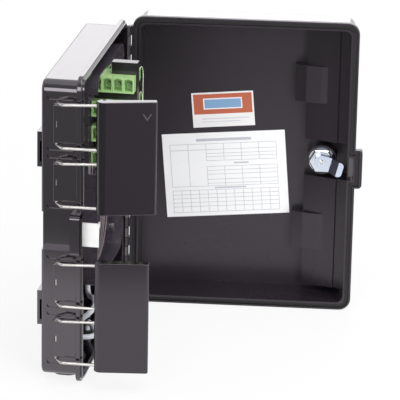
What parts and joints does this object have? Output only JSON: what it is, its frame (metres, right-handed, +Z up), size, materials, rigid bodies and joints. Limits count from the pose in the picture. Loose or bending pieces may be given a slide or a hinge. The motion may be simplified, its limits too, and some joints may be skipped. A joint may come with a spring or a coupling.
{
  "type": "fibre splice box",
  "caption": "Wall box for fibre splices: hinged lid held by two wire-bail lever latches and a cam lock, splice tray, adapter panel and cable entries.",
  "frame": {"origin": "centre of the four wall holes, on the wall plane behind the brackets", "axes": "+X towards the lid's hinge, +Y towards the wall, +Z up"},
  "size_m": [0.312, 0.2787, 0.3],
  "materials": {
    "shell_black": "gloss",
    "stainless": "polished",
    "chrome": "polished",
    "zinc": "satin",
    "white_plate": "satin",
    "tray_grey": "satin",
    "smoke_clear": "gloss",
    "frame_black": "satin",
    "adapter_green": "satin",
    "ceramic": "gloss",
    "rubber": "matte",
    "tube_white": "satin",
    "fibre": "satin",
    "card_vinyl": "satin",
    "paper": "matte"
  },
  "bodies": {
    "base": {"base_shell": "shell_black", "hinge_pin": "stainless", "upper_wall_bracket": "shell_black", "lower_wall_bracket": "shell_black", "bracket_screws": "zinc", "strike_plate": "white_plate", "strike_screws": "zinc", "cable_grommet_1": "rubber", "cable_grommet_2": "rubber", "cable_grommet_3": "rubber", "cable_clamp": "shell_black", "clamp_screws": "zinc", "transport_tube": "tube_white", "splice_tray": "tray_grey", "tray_screws": "zinc", "tray_cover": "smoke_clear", "splice_holder": "tray_grey", "splice_sleeves": "smoke_clear", "fibre_coil": "fibre", "adapter_frame": "frame_black", "frame_screws": "zinc", "adapter_1_1": "adapter_green", "adapter_1_2": "adapter_green", "adapter_1_3": "adapter_green", "adapter_1_4": "adapter_green", "adapter_2_1": "adapter_green", "adapter_2_2": "adapter_green", "adapter_2_3": "adapter_green", "adapter_2_4": "adapter_green", "adapter_3_1": "adapter_green", "adapter_3_2": "adapter_green", "adapter_3_3": "adapter_green", "adapter_3_4": "adapter_green", "adapter_4_1": "adapter_green", "adapter_4_2": "adapter_green", "adapter_4_3": "adapter_green", "adapter_4_4": "adapter_green", "ferrule_sleeves": "ceramic", "pigtail_connectors": "adapter_green", "pigtails": "fibre"},
    "lid": {"lid_shell": "shell_black", "lid_gasket": "rubber", "lock_body": "chrome", "lock_washer": "chrome", "lock_nut": "chrome", "label_card": "card_vinyl", "log_sheet": "paper"},
    "cam": {"lock_plug": "chrome", "lock_cam": "chrome", "cam_screw": "chrome"},
    "upper_bails": {"upper_outer_bail": "stainless", "upper_inner_bail": "stainless"},
    "lower_bails": {"lower_outer_bail": "stainless", "lower_inner_bail": "stainless"},
    "upper_lever": {"upper_latch_lever": "shell_black"},
    "lower_lever": {"lower_latch_lever": "shell_black"}
  },
  "joints": [
    {"name": "lid_hinge", "type": "hinge", "parent": "base", "child": "lid", "pos_m": [0.1175, -0.04315, 0], "axis": [0, 0, 1], "range_deg": [-95, 60]},
    {"name": "cam_turn", "type": "hinge", "parent": "lid", "child": "cam", "pos_m": [0.16258, -0.23545, 0], "axis": [-0.9962, -0.0872, 0], "range_deg": [-60, 30]},
    {"name": "upper_bail_swing", "type": "hinge", "parent": "base", "child": "upper_bails", "pos_m": [-0.109, -0.0195, 0], "axis": [0, 0, 1], "range_deg": [-75, 0]},
    {"name": "lower_bail_swing", "type": "hinge", "parent": "base", "child": "lower_bails", "pos_m": [-0.109, -0.0195, 0], "axis": [0, 0, 1], "range_deg": [-75, 0]},
    {"name": "upper_lever_turn", "type": "hinge", "parent": "upper_bails", "child": "upper_lever", "pos_m": [-0.11451, -0.06507, 0], "axis": [0, 0, 1], "range_deg": [-15, 51]},
    {"name": "lower_lever_turn", "type": "hinge", "parent": "lower_bails", "child": "lower_lever", "pos_m": [-0.11594, -0.06487, 0], "axis": [0, 0, 1], "range_deg": [-15, 60]}
  ]
}
